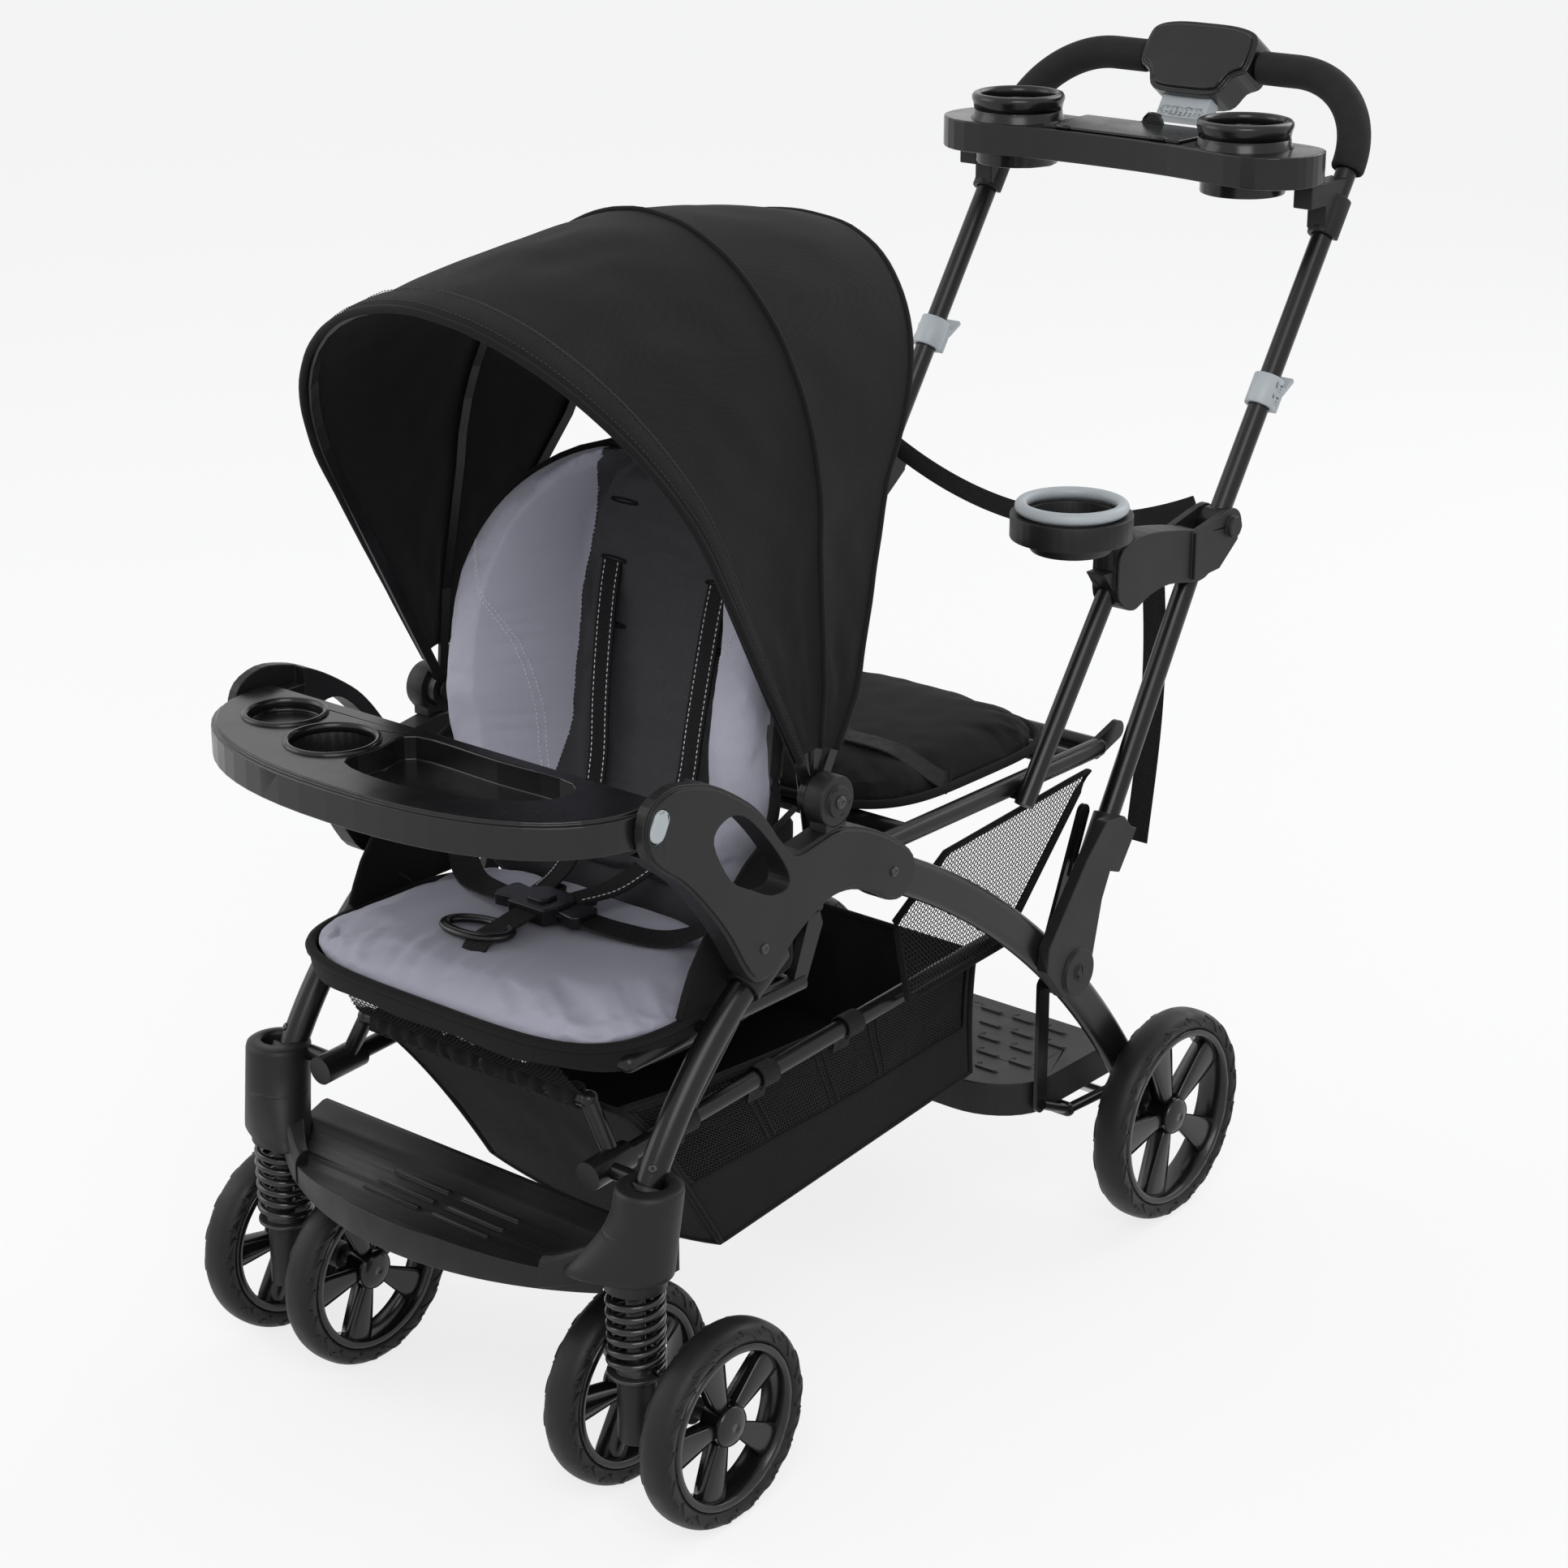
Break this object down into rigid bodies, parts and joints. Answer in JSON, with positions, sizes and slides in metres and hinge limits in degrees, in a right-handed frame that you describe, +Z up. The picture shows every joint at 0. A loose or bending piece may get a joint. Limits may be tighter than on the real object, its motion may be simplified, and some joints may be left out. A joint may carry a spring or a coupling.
{
  "type": "tandem stroller",
  "caption": "Folding tandem stroller with a canopied front seat, rear bench and standing platform, sprung casters, trays with cup wells and an arched push handle.",
  "frame": {"origin": "on the floor under the middle of the bounding box", "axes": "+Y points to the rear, towards the push handle; +X is the side with the cup holder; +Z is up"},
  "size_m": [0.547, 1.2268, 1.0738],
  "materials": {
    "frame_paint": "satin black powder coat",
    "black_plastic": "fine textured black moulding",
    "gloss_plastic": "smooth black moulding",
    "grey_plastic": "smooth grey moulding",
    "steel": "bright axle steel",
    "black_cloth": "black woven polyester",
    "grey_cloth": "pale grey quilted polyester",
    "webbing": "black woven webbing",
    "net": "open mesh net",
    "foam": "black foam sleeve",
    "wheel": "black rim with black tread ring"
  },
  "bodies": {
    "front_frame": {"side_panel_right": "black_plastic", "side_panel_left": "black_plastic", "front_legs": "frame_paint", "caster_pods": "black_plastic", "footrest": "black_plastic", "lower_rails": "frame_paint", "seat_frame": "frame_paint", "seat_pad": "grey_cloth", "harness_buckle": "webbing", "canopy_hubs": "black_plastic", "canopy_bow_rear": "frame_paint", "canopy_panel_rear": "black_cloth", "canopy_panel_front": "black_cloth", "basket": "black_cloth", "spring_right": "frame_paint", "spring_left": "frame_paint"},
    "canopy_middle": {"canopy_bow_middle": "frame_paint"},
    "canopy_front": {"canopy_bow_front": "frame_paint"},
    "child_tray": {"child_tray": "black_plastic"},
    "tray_button_right": {"tray_button_right": "grey_plastic"},
    "tray_button_left": {"tray_button_left": "grey_plastic"},
    "backrest": {"backrest_frame": "frame_paint", "backrest_pad": "grey_cloth", "harness_straps": "webbing"},
    "rear_frame": {"rear_leg_right": "frame_paint", "rear_leg_left": "frame_paint", "rear_axle": "steel", "platform": "black_plastic", "platform_links": "frame_paint", "fold_brackets": "black_plastic", "slotted_bars": "frame_paint", "rear_tubes": "frame_paint", "knuckle_right": "black_plastic", "knuckle_left": "black_plastic", "side_cup": "black_plastic", "cup_ring": "grey_plastic", "bench_frame": "frame_paint", "bench_pad": "black_cloth", "bench_belt": "webbing", "side_nets": "net", "back_strap": "webbing", "strap_tail": "webbing"},
    "upper_handle": {"handle_tube": "frame_paint", "handle_clips": "grey_plastic", "foam_grips": "foam", "handle_housing": "gloss_plastic", "parent_tray": "gloss_plastic", "tray_brackets": "black_plastic"},
    "fold_trigger": {"fold_trigger": "grey_plastic"},
    "tray_lid": {"tray_lid": "gloss_plastic"},
    "suspension_right": {"caster_stem_right": "steel"},
    "suspension_left": {"caster_stem_left": "steel"},
    "caster_right": {"caster_right": "black_plastic"},
    "caster_left": {"caster_left": "black_plastic"},
    "front_wheel_right_outer": {"front_wheel_right_outer": "wheel"},
    "front_wheel_right_inner": {"front_wheel_right_inner": "wheel"},
    "front_wheel_left_inner": {"front_wheel_left_inner": "wheel"},
    "front_wheel_left_outer": {"front_wheel_left_outer": "wheel"},
    "rear_wheel_right": {"rear_wheel_right": "wheel"},
    "rear_wheel_left": {"rear_wheel_left": "wheel"}
  },
  "joints": [
    {"name": "frame_fold", "type": "hinge", "parent": "front_frame", "child": "rear_frame", "pos_m": [0, -0.19639, 0.478], "axis": [-1, 0, 0], "range_deg": [0, 30], "deforming": ["side_nets"]},
    {"name": "handle_fold", "type": "hinge", "parent": "rear_frame", "child": "upper_handle", "pos_m": [0, 0.32561, 0.66], "axis": [-1, 0, 0], "range_deg": [0, 140]},
    {"name": "trigger_squeeze", "type": "slide", "parent": "upper_handle", "child": "fold_trigger", "axis": [0, 0.5592, 0.829], "range_m": [0, 0.008], "stiffness_N_per_m": 600, "springref_m": -0.004},
    {"name": "lid_hinge", "type": "hinge", "parent": "upper_handle", "child": "tray_lid", "pos_m": [0, 0.41862, 0.9878], "axis": [1, 0, 0], "range_deg": [0, 100]},
    {"name": "tray_slide", "type": "slide", "parent": "front_frame", "child": "child_tray", "axis": [0, -1, 0], "range_m": [0, 0.06]},
    {"name": "tray_button_right_press", "type": "slide", "parent": "front_frame", "child": "tray_button_right", "axis": [-1, 0, 0], "range_m": [0, 0.003], "stiffness_N_per_m": 500, "springref_m": -0.002},
    {"name": "tray_button_left_press", "type": "slide", "parent": "front_frame", "child": "tray_button_left", "axis": [1, 0, 0], "range_m": [0, 0.003], "stiffness_N_per_m": 500, "springref_m": -0.002},
    {"name": "recline", "type": "hinge", "parent": "front_frame", "child": "backrest", "pos_m": [0, -0.24538, 0.4378], "axis": [-1, 0, 0], "range_deg": [0, 20]},
    {"name": "canopy_fold", "type": "hinge", "parent": "front_frame", "child": "canopy_front", "pos_m": [0, -0.28038, 0.568], "axis": [-1, 0, 0], "range_deg": [0, 30], "deforming": ["canopy_panel_front", "canopy_panel_rear"]},
    {"name": "canopy_follow", "type": "hinge", "parent": "front_frame", "child": "canopy_middle", "pos_m": [0, -0.28038, 0.568], "axis": [-1, 0, 0], "range_deg": [0, 8]},
    {"name": "suspension_right", "type": "slide", "parent": "front_frame", "child": "suspension_right", "axis": [0, 0, 1], "range_m": [0, 0.012], "stiffness_N_per_m": 6000, "springref_m": -0.008, "deforming": ["spring_right"]},
    {"name": "swivel_right", "type": "hinge", "parent": "suspension_right", "child": "caster_right", "pos_m": [0.206, -0.49739, 0.11], "axis": [0, 0, 1], "continuous": true},
    {"name": "spin_front_right_outer", "type": "hinge", "parent": "caster_right", "child": "front_wheel_right_outer", "pos_m": [0.258, -0.45288, 0.0885], "axis": [1, 0, 0], "continuous": true},
    {"name": "spin_front_right_inner", "type": "hinge", "parent": "caster_right", "child": "front_wheel_right_inner", "pos_m": [0.154, -0.45288, 0.0885], "axis": [1, 0, 0], "continuous": true},
    {"name": "spin_rear_right", "type": "hinge", "parent": "rear_frame", "child": "rear_wheel_right", "pos_m": [0.231, 0.22862, 0.1035], "axis": [1, 0, 0], "continuous": true},
    {"name": "suspension_left", "type": "slide", "parent": "front_frame", "child": "suspension_left", "axis": [0, 0, 1], "range_m": [0, 0.012], "stiffness_N_per_m": 6000, "springref_m": -0.008, "deforming": ["spring_left"]},
    {"name": "swivel_left", "type": "hinge", "parent": "suspension_left", "child": "caster_left", "pos_m": [-0.206, -0.49739, 0.11], "axis": [0, 0, 1], "continuous": true},
    {"name": "spin_front_left_outer", "type": "hinge", "parent": "caster_left", "child": "front_wheel_left_outer", "pos_m": [-0.258, -0.45288, 0.0885], "axis": [1, 0, 0], "continuous": true},
    {"name": "spin_front_left_inner", "type": "hinge", "parent": "caster_left", "child": "front_wheel_left_inner", "pos_m": [-0.154, -0.45288, 0.0885], "axis": [1, 0, 0], "continuous": true},
    {"name": "spin_rear_left", "type": "hinge", "parent": "rear_frame", "child": "rear_wheel_left", "pos_m": [-0.231, 0.22862, 0.1035], "axis": [1, 0, 0], "continuous": true}
  ],
  "couplings": [
    {"joint": "canopy_follow", "follows": "canopy_fold", "ratio": 0.26}
  ]
}
